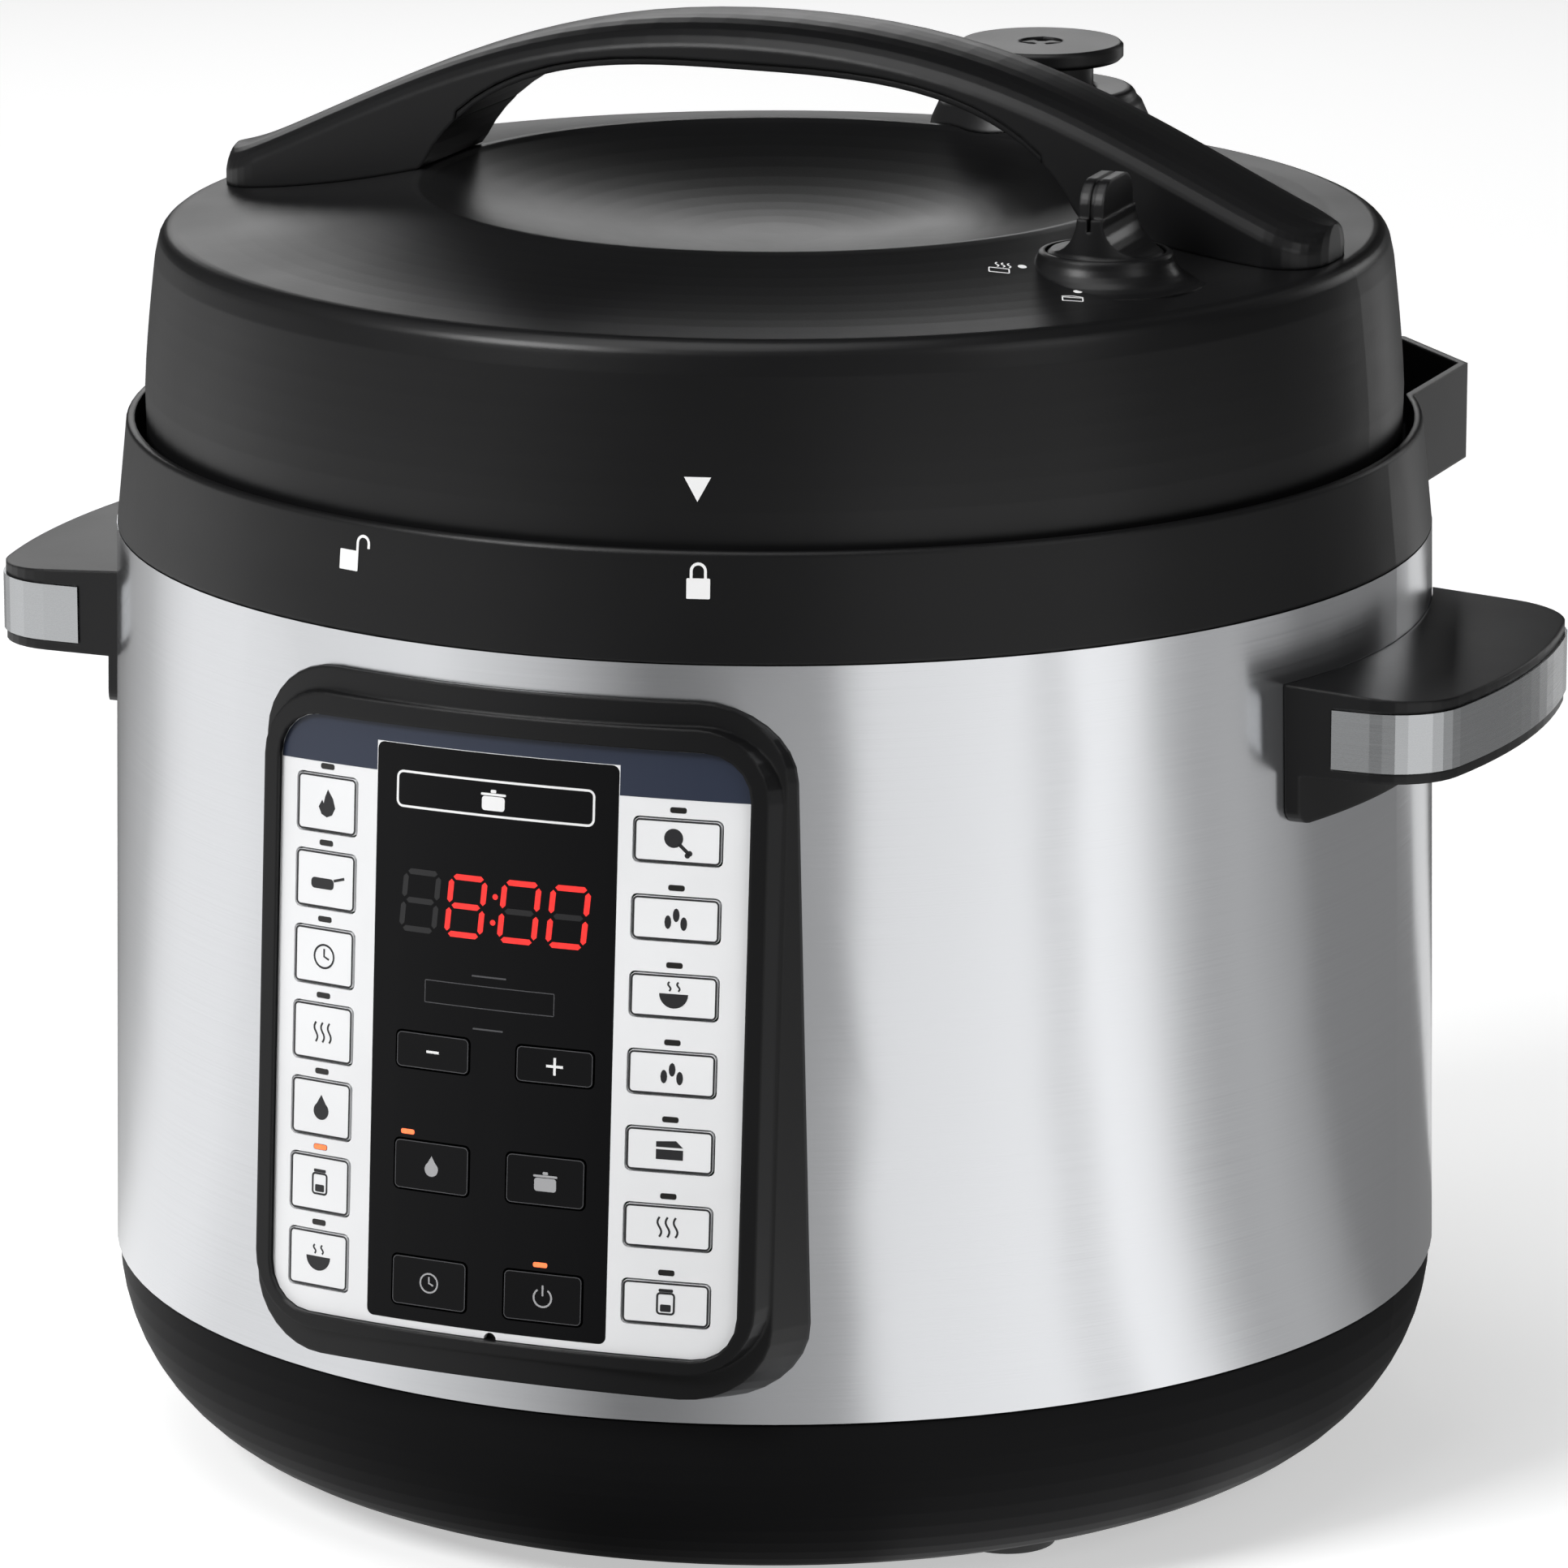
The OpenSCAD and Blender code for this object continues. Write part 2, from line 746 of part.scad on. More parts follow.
plate_top = [[0, 257.5], [40, 257.2], [70, 255.6], [95, 252.4], [108, 250.4], [124, 250],
             [130, 248.8], [134, 246], [plate_r, 242], [plate_r, 226.6]];

module lid_plate() {
  inner = concat([[plate_r - plate_t, 226.6], [plate_r - plate_t, 241.6], [132.8, 244.8],
                  [129.4, 247.2], [124, 248.4]],
                 [[108, 248.8], [95, 250.8], [70, 254], [40, 255.6], [0, 255.9]]);
  color([0.78, 0.78, 0.8])
    difference() {
      union() {
        rotate_extrude() polygon(concat(plate_top, inner));
        // bayonet lugs under the lugs of the outer pot
        difference() {
          translate([0, 0, lid_lug_z0]) cylinder(r = plate_r - 0.5, h = lid_lug_t);
          translate([0, 0, lid_lug_z0 - 1]) cylinder(r = 125.6, h = lid_lug_t + 2);
          wedges(lugs, lug_pitch - lug_arc, lug_pitch / 2 + lid_lug_offset, lid_lug_z0 - 1,
                 lid_lug_z0 + lid_lug_t + 1);
        }
      }
      polar(valve_at_r, valve_at_a) translate([0, 0, 240]) cylinder(r = 4.3, h = 30);
      polar(float_at_r, float_at_a) translate([0, 0, 240]) cylinder(r = 4.2, h = 30);
      for (i = [0:2]) polar(58, 30 + 120 * i) translate([0, 0, 240]) cylinder(r = 2, h = 30);
    }
}

module ring_rack() {
  wire_r = 1.1;
  rack_z = 242.5;
  color([0.8, 0.8, 0.82])
    union() {
      translate([0, 0, rack_z])
        rotate_extrude() translate([111.4, 0]) circle(r = wire_r, $fn = 24);
      for (i = [0:7]) polar(111.4, 22.5 + 45 * i) translate([0, 0, rack_z]) cylinder(r = 0.8, h = 6.1);
    }
}

// ---------- lid handle ----------

function smooth_max(a, b, k) = (a + b + sqrt((a - b) * (a - b) + k * k)) / 2;

function handle_top(x) = smooth_max(
  283.6 + 41 * cos(90 * abs(x) / 134) + 1.2 * pow(sin(min(180, 180 * abs(x) / 120)), 2), 285.6, 3);

foot_x = 79.5;
cover_x = 70;
tip_x = 131.8;

function handle_under(x) = 282.6 + 32 * pow(1 - pow(min(1, abs(x) / foot_x), 3.2), 0.625);

function half_width(x) =
  let (round_from = 121)
  abs(x) < round_from ? 18 - 1.5 * abs(x) / round_from
  : 4 + 12.5 * sqrt(max(0, 1 - pow((abs(x) - round_from) / (tip_x - round_from), 2)));

function lid_surface(x, y) =
  let (r = norm([x, y]))
  r > shoulder_r - 2 ? shoulder_z : r > rim_r ? annulus_z(r) : rim_z - 0.2;

function handle_low(x, y) =
  abs(x) > foot_x ? lid_surface(x, y) + 0.15
  : abs(x) < cover_x + 0.2 ? handle_under(x) + 1.8
  : smooth_max(handle_under(x), rim_z + 0.1, 0.2);

function handle_section(x) =
  let (w = half_width(x), t = handle_top(x), low_n = 4, top_n = 14)
  concat(
    [for (i = [0:low_n]) let (y = w * (2 * i / low_n - 1)) [x, y, handle_low(x, y)]],
    [for (i = [0:top_n])
      let (s = cos(180 * i / top_n), y = w * s)
      [x, y, t - 3.6 * pow(abs(s), 3) - 1.6 * pow(abs(s), 14)]]);

function handle_stations() =
  let (half = concat([0, 8, 16, 24, 32, 40, 47, 54, 60, 65, 69.9, 70.4, 73, 75.5, 77.5, 79, 79.9, 84,
                      89, 94, 99, 104, 109, 113, 117, 119.5, 121, 123, 125, 126.8, 128.3, 129.6,
                      130.6, 131.3, tip_x]))
  concat([for (i = [len(half) - 1:-1:1]) -half[i]], half);

module loft(sections) {
  m = len(sections[0]);
  n = len(sections);
  polyhedron(
    points = [for (s = sections) for (p = s) p],
    faces = concat(
      [[for (j = [0:m - 1]) j]],
      [for (i = [0:n - 2]) for (j = [0:m - 1])
        [i * m + j, (i + 1) * m + j, (i + 1) * m + (j + 1) % m]],
      [for (i = [0:n - 2]) for (j = [0:m - 1])
        [i * m + j, (i + 1) * m + (j + 1) % m, i * m + (j + 1) % m]],
      [[for (j = [m - 1:-1:0]) (n - 1) * m + j]]));
}

module lid_handle() {
  color([0.09, 0.09, 0.09])
    difference() {
      loft([for (x = handle_stations()) handle_section(x)]);
      for (x = [-104, 104]) translate([x, 0, 270]) cylinder(r = 1.9, h = 21);
    }
}

module handle_cover() {
  w = 16.8;
  xs = [for (i = [-14:14]) (i < 0 ? -1 : 1) * cover_x * pow(abs(i) / 14, 0.8)];
  color([0.06, 0.06, 0.06])
    loft([for (x = xs)
      let (u = handle_under(x)) [[x, -w, u], [x, w, u], [x, w, u + 1.5], [x, -w, u + 1.5]]]);
}

module lid_screws() {
  color([0.6, 0.6, 0.62]) {
    for (i = [0:2])
      polar(58, 30 + 120 * i) translate([0, 0, 252.4]) screw(4, 1.9, 1.8, 12);
    for (x = [-104, 104]) translate([x, 0, 275.4]) screw(4, 2, 1.8, 13);
  }
}

// ---------- pressure release ----------

module release_knob() {
  disc_r = 12.6;
  disc_top = 286;
  blade_half_t = 2.7;
  color([0.09, 0.09, 0.09])
    polar(knob_at_r, knob_at_a)
      difference() {
        union() {
          rotate_extrude()
            polygon([[0, knob_seat_z + 0.3], [disc_r, knob_seat_z + 0.3], [disc_r, disc_top - 0.4],
                     [disc_r - 0.8, disc_top + 0.3], [0, disc_top + 0.3]]);
          translate([0, 0, knob_seat_z - 6]) cylinder(r = 4.2, h = 7);
          rotate([0, 0, -88 - knob_at_a]) {
            // upright grip, pointing at the seal mark
            translate([0, blade_half_t, disc_top])
              rotate([90, 0, 0])
                linear_extrude(2 * blade_half_t)
                  polygon(concat([[-10.4, 0], [10.4, 0]], arc([4, 10.4], 6, 0, 85, 7),
                                 arc([-4.4, 11], 5.4, 95, 180, 7)));
            // hollow-sided foot that runs up into the grip
            intersection() {
              translate([0, 0, disc_top]) cylinder(r = disc_r - 1, h = 9);
              translate([-disc_r, 0, disc_top])
                rotate([90, 0, 90])
                  linear_extrude(2 * disc_r)
                    polygon(concat([[-11.6, -0.5], [11.6, -0.5]], arc([11.2, 8.6], 8.4, 270, 180, 7),
                                   arc([-11.2, 8.6], 8.4, 0, -90, 7)));
            }
          }
        }
        // square socket for the crank
        translate([-2, -2, knob_seat_z - 7]) cube([4, 4, 8]);
        // groove down the end and over the top of the grip
        rotate([0, 0, -88 - knob_at_a])
          translate([0, 0, disc_top + 6])
            rotate([90, 0, 0])
              linear_extrude(0.9, center = true)
                difference() {
                  translate([-14, 0]) square([28, 14]);
                  polygon(concat([[-9.8, -1], [9.5, -1]], arc([4, 4.4], 5.5, 0, 85, 7),
                                 arc([-4.4, 5], 4.9, 95, 180, 7)));
                }
      }
}

crank_r = 8;

module release_crank() {
  color([0.8, 0.8, 0.76])
    polar(knob_at_r, knob_at_a)
      union() {
        translate([-1.95, -1.95, 270]) cube([3.9, 3.9, knob_seat_z - 270.2]);
        translate([0, 0, 267.4]) cylinder(r = 4.6, h = 3.4);
        // arm that carries the drive pin, turned half the travel from the radial line
        rotate([0, 0, 180 + knob_turn / 2])
          union() {
            translate([0, -3, 267.4]) cube([crank_r, 6, 3.4]);
            translate([crank_r, 0, 262.4]) cylinder(r = 2, h = 8);
            translate([crank_r, 0, 267.4]) cylinder(r = 3, h = 3.4);
          }
      }
}

// travel of the slider about the lid axis, worked out from the crank
pin_r = knob_at_r - crank_r * cos(knob_turn / 2);
slider_travel = 2 * crank_r * sin(knob_turn / 2);
slider_turn = slider_travel / pin_r * 180 / PI;
ramp_travel = slider_turn * PI / 180 * valve_at_r;
ramp_slope = valve_lift / ramp_travel;

module release_slider() {
  z0 = 262.6;
  t = 3;
  far_end = -24;
  near_end = 0;
  ramp_z = 267.5;
  ramp_at = -10.5;
  link_a0 = knob_at_a + 1;
  link_a1 = valve_at_a - 11.5;
  steps = 20;
  color([0.82, 0.82, 0.78])
    difference() {
      union() {
        // curved link
        translate([0, 0, z0])
          linear_extrude(t)
            polygon(concat(arc([0, 0], 107, link_a0, link_a1, steps),
                           reversed(arc([0, 0], 99, link_a0, link_a1, steps))));
        // paddle with the slot for the crank pin
        rotate([0, 0, knob_at_a - slider_turn / 2])
          translate([89, -7, z0]) cube([18, 17, t]);
        // forked ramp on both sides of the steam pipe
        rotate([0, 0, valve_at_a])
          for (side = [-1, 1])
            translate([valve_at_r + side * 8 + 1.5, 0, 0])
              rotate([0, -90, 0])
                linear_extrude(3)
                  polygon([[z0, far_end], [ramp_z + (ramp_at - far_end) * ramp_slope, far_end],
                           [ramp_z + (ramp_at - near_end) * ramp_slope, near_end], [z0, near_end]]);
        rotate([0, 0, valve_at_a]) translate([valve_at_r - 9.5, far_end, z0]) cube([19, 5, t]);
      }
      rotate([0, 0, knob_at_a - slider_turn / 2])
        translate([pin_r - 3.4, -2.45, z0 - 1]) cube([6.6, 4.9, t + 2]);
    }
}

module valve_turret() {
  color([0.1, 0.1, 0.1])
    difference() {
      polar(valve_at_r, valve_at_a)
        rotate_extrude()
          polygon(concat([[12.7, 272.5], [14.2, 272.5], [14.2, 275.4], [13.2, 275.4], [13.2, 277],
                          [26.2, 277], [26.2, 282]],
                         [[25.2, 286.2], [23.4, 290.2]],
                         arc([19.6, 291], 2.6, 10, 85, 4),
                         [[13.2, 293.6], [12.7, 293.2]]));
      difference() {
        lid_solid(touch);
        polar(valve_at_r, valve_at_a) translate([0, 0, 250]) cylinder(r = 13.3, h = 50);
      }
    }
}

module steam_valve() {
  disc_top = 304;
  color([0.1, 0.1, 0.1])
    polar(valve_at_r, valve_at_a)
      difference() {
        union() {
          rotate_extrude()
            polygon([[5, 290], [10.2, 288], [10.2, 268], [12.1, 268], [12.1, 300], [18.2, 300],
                     [19, 300.8], [19, 303.3], [18.3, disc_top], [5, disc_top]]);
          translate([0, 0, 290]) cylinder(r = 6.2, h = disc_top - 290.4);
        }
        translate([0, 0, 280]) cylinder(r = 4.9, h = 18.6);
        // steam outlets between the three spokes
        for (i = [0:2])
          rotate([0, 0, 120 * i + 30])
            translate([0, 0, 280])
              linear_extrude(30)
                polygon([[1.6, 0.9], [4.4, 2.5], [5.4, 0], [4.4, -2.5], [1.6, -0.9]]);
      }
}

module steam_pipe() {
  color([0.8, 0.8, 0.82])
    polar(valve_at_r, valve_at_a)
      difference() {
        union() {
          translate([0, 0, 246]) cylinder(r = 4.2, h = 51.4);
          translate([0, 0, 252.6]) cylinder(r = 6.4, h = 2.6);
        }
        translate([0, 0, 240]) cylinder(r = 2.2, h = 70);
      }
}

module filter_cap() {
  color([0.8, 0.8, 0.82])
    polar(valve_at_r, valve_at_a)
      difference() {
        translate([0, 0, 238.5]) cylinder(r = 6.3, h = 9.6);
        translate([0, 0, 240]) cylinder(r = 4.25, h = 10);
        for (i = [0:2]) rotate([0, 0, 60 * i]) translate([-0.7, -8, 241]) cube([1.4, 16, 4]);
        for (i = [0:2]) rotate([0, 0, 120 * i]) translate([2.2, 0, 237]) cylinder(r = 0.7, h = 4);
      }
}

module float_valve() {
  color([0.75, 0.75, 0.76])
    polar(float_at_r, float_at_a)
      union() {
        translate([0, 0, 242.6]) cylinder(r = 3.9, h = 26);
        translate([0, 0, 252.2]) cylinder(r = 6, h = 1.5);
        translate([0, 0, 267]) cylinder(r1 = 6.4, r2 = 5.6, h = 3);
      }
}

module float_seal() {
  color([0.8, 0.3, 0.2])
    polar(float_at_r, float_at_a)
      difference() {
        translate([0, 0, 242.6]) cylinder(r = 5.3, h = 1.6);
        translate([0, 0, 240]) cylinder(r = 3.95, h = 10);
      }
}

outer_shell();
base_housing();
feet();
upper_collar();
outer_pot();
heating_plate();
temperature_sensor();
sensor_spring();
elastic_plate();
pressure_switch();
thermal_fuse();
power_board();
control_board();
panel_bezel();
panel_fascia();
display_window();
led_display();
indicator_lenses();
left_column_key(0);  // key_left_1
left_column_key(1);  // key_left_2
left_column_key(2);  // key_left_3
left_column_key(3);  // key_left_4
left_column_key(4);  // key_left_5
left_column_key(5);  // key_left_6
left_column_key(6);  // key_left_7
right_column_key(0);  // key_right_1
right_column_key(1);  // key_right_2
right_column_key(2);  // key_right_3
right_column_key(3);  // key_right_4
right_column_key(4);  // key_right_5
right_column_key(5);  // key_right_6
right_column_key(6);  // key_right_7
window_key(0);  // key_minus
window_key(1);  // key_plus
window_key(2);  // key_mid_left
window_key(3);  // key_mid_right
window_key(4);  // key_low_left
window_key(5);  // key_low_right
power_inlet();
side_handle_left();
side_handle_right();
handle_trims();
case_screws();
inner_pot();
sealing_ring();
lid_cover();
lid_plate();
ring_rack();
lid_handle();
handle_cover();
lid_screws();
release_knob();
release_crank();
release_slider();
valve_turret();
steam_valve();
steam_pipe();
filter_cap();
float_valve();
float_seal();
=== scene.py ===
"""Looks, printed marks, light and camera for the electric pressure cooker, in the CAD frame, in metres."""

import bmesh
import bpy
import json
import math
from mathutils import Matrix, Vector
from mathutils.geometry import tessellate_polygon


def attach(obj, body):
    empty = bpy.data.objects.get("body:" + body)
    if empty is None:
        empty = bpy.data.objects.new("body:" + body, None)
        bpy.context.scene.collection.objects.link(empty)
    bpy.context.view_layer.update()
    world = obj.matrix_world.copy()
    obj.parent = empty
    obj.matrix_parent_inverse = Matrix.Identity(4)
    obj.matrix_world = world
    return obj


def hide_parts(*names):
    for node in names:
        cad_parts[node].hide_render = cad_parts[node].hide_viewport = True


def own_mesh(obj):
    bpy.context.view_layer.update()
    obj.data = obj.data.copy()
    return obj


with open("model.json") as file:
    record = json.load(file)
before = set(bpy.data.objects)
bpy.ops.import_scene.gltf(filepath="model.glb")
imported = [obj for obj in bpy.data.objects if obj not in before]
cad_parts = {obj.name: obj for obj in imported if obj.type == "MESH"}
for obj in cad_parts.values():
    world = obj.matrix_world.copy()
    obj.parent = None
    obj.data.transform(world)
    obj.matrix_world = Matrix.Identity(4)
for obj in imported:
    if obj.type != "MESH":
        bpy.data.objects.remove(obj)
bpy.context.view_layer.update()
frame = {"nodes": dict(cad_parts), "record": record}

MM = 0.001
PANEL_TILT = 4.2
PANEL_ORIGIN = (0.0, -0.1533, 0.1298)
FACE_BOW_R = 227.0  # radius of the bowed panel face, mm
SKIN = 0.04  # thickness of a printed mark, mm
THIN_SKIN = 0.05  # the same on the small glossy keys
LID_SKIN = 0.06  # the same on the lid's top
WALL_SKIN = 0.08  # the same on the turned walls
SLICE = 3  # width of the strips that follow the bow, mm


# ---------- materials ----------

def start_material(name):
    mat = bpy.data.materials.new(name)
    mat.use_nodes = True
    tree = mat.node_tree
    bsdf = tree.nodes["Principled BSDF"]
    return mat, tree, bsdf


def add(tree, kind, **values):
    node = tree.nodes.new(kind)
    for key, value in values.items():
        if hasattr(node, key):
            setattr(node, key, value)
        else:
            node.inputs[key.replace("_", " ")].default_value = value
    return node


def join(tree, source, out, target, into):
    tree.links.new(source.outputs[out], target.inputs[into])


def place(tree, stretch):
    """Object coordinates, stretched: large numbers make fine detail along that axis."""
    coords = add(tree, "ShaderNodeTexCoord")
    mapping = add(tree, "ShaderNodeMapping")
    mapping.inputs["Scale"].default_value = stretch
    join(tree, coords, "Object", mapping, "Vector")
    return mapping


def polar_place(tree, around, radial, up):
    """Coordinates that run round the body's axis, so that a stretched texture follows the turned surface."""
    coords = add(tree, "ShaderNodeTexCoord")
    split = add(tree, "ShaderNodeSeparateXYZ")
    join(tree, coords, "Object", split, "Vector")
    flat = add(tree, "ShaderNodeCombineXYZ")
    join(tree, split, "X", flat, "X")
    join(tree, split, "Y", flat, "Y")
    unit = add(tree, "ShaderNodeVectorMath", operation="NORMALIZE")
    join(tree, flat, "Vector", unit, 0)
    scaled = add(tree, "ShaderNodeVectorMath", operation="SCALE")
    scaled.inputs["Scale"].default_value = around
    join(tree, unit, "Vector", scaled, 0)
    length = add(tree, "ShaderNodeVectorMath", operation="LENGTH")
    join(tree, flat, "Vector", length, 0)
    by_r = add(tree, "ShaderNodeMath", operation="MULTIPLY")
    by_r.inputs[1].default_value = radial
    join(tree, length, "Value", by_r, 0)
    by_z = add(tree, "ShaderNodeMath", operation="MULTIPLY")
    by_z.inputs[1].default_value = up
    join(tree, split, "Z", by_z, 0)
    total = add(tree, "ShaderNodeMath", operation="ADD")
    join(tree, by_r, "Value", total, 0)
    join(tree, by_z, "Value", total, 1)
    lift = add(tree, "ShaderNodeCombineXYZ")
    join(tree, total, "Value", lift, "Z")
    both = add(tree, "ShaderNodeVectorMath", operation="ADD")
    join(tree, scaled, "Vector", both, 0)
    join(tree, lift, "Vector", both, 1)
    return both


def vary(tree, texture, out, low, high, target, into):
    """Sends a texture to an input, mapped to the range low to high."""
    span = add(tree, "ShaderNodeMapRange")
    span.inputs["From Min"].default_value = 0.25
    span.inputs["From Max"].default_value = 0.75
    span.inputs["To Min"].default_value = low
    span.inputs["To Max"].default_value = high
    join(tree, texture, out, span, "Value")
    join(tree, span, "Result", target, into)


def tint(tree, texture, out, dark, light, bsdf):
    mix = add(tree, "ShaderNodeMix", data_type="RGBA")
    mix.inputs[6].default_value = (*dark, 1)
    mix.inputs[7].default_value = (*light, 1)
    join(tree, texture, out, mix, 0)
    tree.links.new(mix.outputs[2], bsdf.inputs["Base Color"])


def bump(tree, texture, out, bsdf, strength, depth, edge=0.0):
    node = add(tree, "ShaderNodeBump")
    node.inputs["Strength"].default_value = strength
    node.inputs["Distance"].default_value = depth
    join(tree, texture, out, node, "Height")
    if edge:
        join(tree, add(tree, "ShaderNodeBevel", samples=4, Radius=edge), "Normal", node, "Normal")
    join(tree, node, "Normal", bsdf, "Normal")


def shade(color, factor):
    return tuple(min(1, c * factor) for c in color)


def plastic(name, color, rough, grain=1500, depth=0.00003, strength=0.35, specular=0.5, coat=0.0,
            edge=0.0):
    mat, tree, bsdf = start_material(name)
    fine = add(tree, "ShaderNodeTexNoise")
    fine.inputs["Scale"].default_value = grain
    fine.inputs["Detail"].default_value = 3
    join(tree, place(tree, (1, 1, 1)), "Vector", fine, "Vector")
    broad = add(tree, "ShaderNodeTexNoise")
    broad.inputs["Scale"].default_value = 22
    broad.inputs["Detail"].default_value = 4
    join(tree, place(tree, (1, 1, 1)), "Vector", broad, "Vector")
    tint(tree, broad, "Fac", shade(color, 0.9), shade(color, 1.12), bsdf)
    vary(tree, broad, "Fac", rough - 0.03, rough + 0.04, bsdf, "Roughness")
    bump(tree, fine, "Fac", bsdf, strength, depth, edge)
    bsdf.inputs["Specular IOR Level"].default_value = specular
    bsdf.inputs["Coat Weight"].default_value = coat
    bsdf.inputs["Coat Roughness"].default_value = 0.04
    return mat


def brushed(name, color, rough, around=None, stretch=(12, 900, 900), aniso=0.0, turn=0.25, depth=0.00001,
            spread=0.1):
    mat, tree, bsdf = start_material(name)
    hair = add(tree, "ShaderNodeTexNoise")
    hair.inputs["Scale"].default_value = 1
    hair.inputs["Detail"].default_value = 4
    hair.inputs["Roughness"].default_value = 0.65
    source = polar_place(tree, *around) if around else place(tree, stretch)
    join(tree, source, "Vector", hair, "Vector")
    tint(tree, hair, "Fac", shade(color, 0.9), shade(color, 1.08), bsdf)
    vary(tree, hair, "Fac", rough - spread / 2, rough + spread / 2, bsdf, "Roughness")
    bump(tree, hair, "Fac", bsdf, 0.25, depth)
    bsdf.inputs["Metallic"].default_value = 1
    if aniso:
        bsdf.inputs["Anisotropic"].default_value = aniso
        bsdf.inputs["Anisotropic Rotation"].default_value = turn
        tangent = add(tree, "ShaderNodeTangent", direction_type="RADIAL", axis="Z")
        join(tree, tangent, "Tangent", bsdf, "Tangent")
    return mat


def glow(name, color, strength):
    mat, tree, bsdf = start_material(name)
    noise = add(tree, "ShaderNodeTexNoise")
    noise.inputs["Scale"].default_value = 900
    join(tree, place(tree, (1, 1, 1)), "Vector", noise, "Vector")
    tint(tree, noise, "Fac", shade(color, 0.2), shade(color, 0.3), bsdf)
    bsdf.inputs["Emission Color"].default_value = (*color, 1)
    vary(tree, noise, "Fac", strength * 0.85, strength * 1.15, bsdf, "Emission Strength")
    bsdf.inputs["Roughness"].default_value = 0.4
    return mat


def board(name):
    mat, tree, bsdf = start_material(name)
    tracks = add(tree, "ShaderNodeTexBrick")
    tracks.inputs["Scale"].default_value = 180
    tracks.inputs["Color1"].default_value = (0.02, 0.12, 0.06, 1)
    tracks.inputs["Color2"].default_value = (0.03, 0.16, 0.08, 1)
    tracks.inputs["Mortar"].default_value = (0.05, 0.22, 0.1, 1)
    join(tree, place(tree, (1, 1, 1)), "Vector", tracks, "Vector")
    join(tree, tracks, "Color", bsdf, "Base Color")
    bsdf.inputs["Roughness"].default_value = 0.35
    return mat


BLACK = (0.006, 0.006, 0.0064)
MATERIALS = {
    "steel_band": brushed("steel_band", (0.7, 0.71, 0.73), 0.2, around=(1.2, 0, 3200), aniso=0.75),
    "black_plastic": plastic("black_plastic", BLACK, 0.33, specular=0.29, edge=0.0009),
    "base_plastic": plastic("base_plastic", (0.01, 0.01, 0.0105), 0.46, specular=0.02, edge=0.0009),
    "foot_rubber": plastic("foot_rubber", (0.02, 0.02, 0.02), 0.75, grain=900),
    "pot_steel": brushed("pot_steel", (0.66, 0.66, 0.66), 0.28, around=(1.5, 1400, 1400), aniso=0.4),
    "cast_aluminium": brushed("cast_aluminium", (0.62, 0.62, 0.63), 0.36, around=(2, 900, 300)),
    "spring_steel": brushed("spring_steel", (0.5, 0.5, 0.51), 0.3, stretch=(500, 500, 60)),
    "pale_insulator": plastic("pale_insulator", (0.7, 0.66, 0.55), 0.3),
    "circuit_board": board("circuit_board"),
    "silver_panel": plastic("silver_panel", (0.86, 0.865, 0.875), 0.34, grain=2600, strength=0.2),
    "gloss_window": plastic("gloss_window", (0.0035, 0.0035, 0.004), 0.08, grain=260, depth=0.000004,
                            strength=0.1, specular=0.12),
    "display_block": plastic("display_block", (0.05, 0.008, 0.008), 0.3),
    "lens_plastic": plastic("lens_plastic", (0.012, 0.011, 0.01), 0.25),
    "silver_key": plastic("silver_key", (0.88, 0.885, 0.895), 0.34, grain=2600, strength=0.2),
    "black_key": plastic("black_key", (0.0035, 0.0035, 0.004), 0.1, grain=300, depth=0.000004,
                         strength=0.1, specular=0.14),
    "satin_trim": brushed("satin_trim", (0.48, 0.49, 0.5), 0.27, stretch=(40, 40, 2600)),
    "screw_steel": brushed("screw_steel", (0.45, 0.45, 0.45), 0.35, stretch=(800, 800, 100)),
    "silicone": plastic("silicone", (0.55, 0.55, 0.52), 0.5, grain=600),
    "white_nylon": plastic("white_nylon", (0.62, 0.62, 0.58), 0.45),
}
INKS = {
    "white_ink": plastic("white_ink", (0.9, 0.9, 0.9), 0.5, grain=3000),
    "dark_ink": plastic("dark_ink", (0.015, 0.015, 0.017), 0.45, grain=3000),
    "grey_ink": plastic("grey_ink", (0.07, 0.07, 0.075), 0.4, grain=3000),
    "light_grey_ink": plastic("light_grey_ink", (0.4, 0.4, 0.41), 0.4, grain=3000),
    "ghost_ink": plastic("ghost_ink", (0.011, 0.011, 0.012), 0.35, grain=3000),
    "slate_ink": plastic("slate_ink", (0.022, 0.03, 0.055), 0.35, grain=3000),
    "red_glow": glow("red_glow", (0.95, 0.03, 0.025), 1.0),
    "orange_glow": glow("orange_glow", (1.0, 0.16, 0.05), 1.8),
    "amber_core": glow("amber_core", (1.0, 0.5, 0.25), 2.4),
}

slot_of = {s["node"]: s["material_slot"] for s in frame["record"]["subparts"]}
duller = {"base_housing": "base_plastic"}
for node_name, obj in frame["nodes"].items():
    obj.data.materials.clear()
    obj.data.materials.append(MATERIALS[duller.get(node_name, slot_of[node_name])])
    for face in obj.data.polygons:
        face.use_smooth = True
    obj.data.set_sharp_from_angle(angle=math.radians(40))
    weighted = obj.modifiers.new("weighted", "WEIGHTED_NORMAL")
    weighted.keep_sharp = True

# the spring under the sensor, which in the real cooker shortens as the sensor is pressed, is copied to an
# object with a mesh of its own on the base; the CAD spring is hidden
coil = bpy.data.objects.new("sensor_coil", frame["nodes"]["sensor_spring"].data.copy())
bpy.context.scene.collection.objects.link(coil)
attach(coil, "base")
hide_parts("sensor_spring")
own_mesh(coil)


# ---------- marks ----------

def arc(cx, cy, r, a0, a1, n):
    return [(cx + r * math.cos(math.radians(a0 + (a1 - a0) * i / n)),
             cy + r * math.sin(math.radians(a0 + (a1 - a0) * i / n))) for i in range(n + 1)]


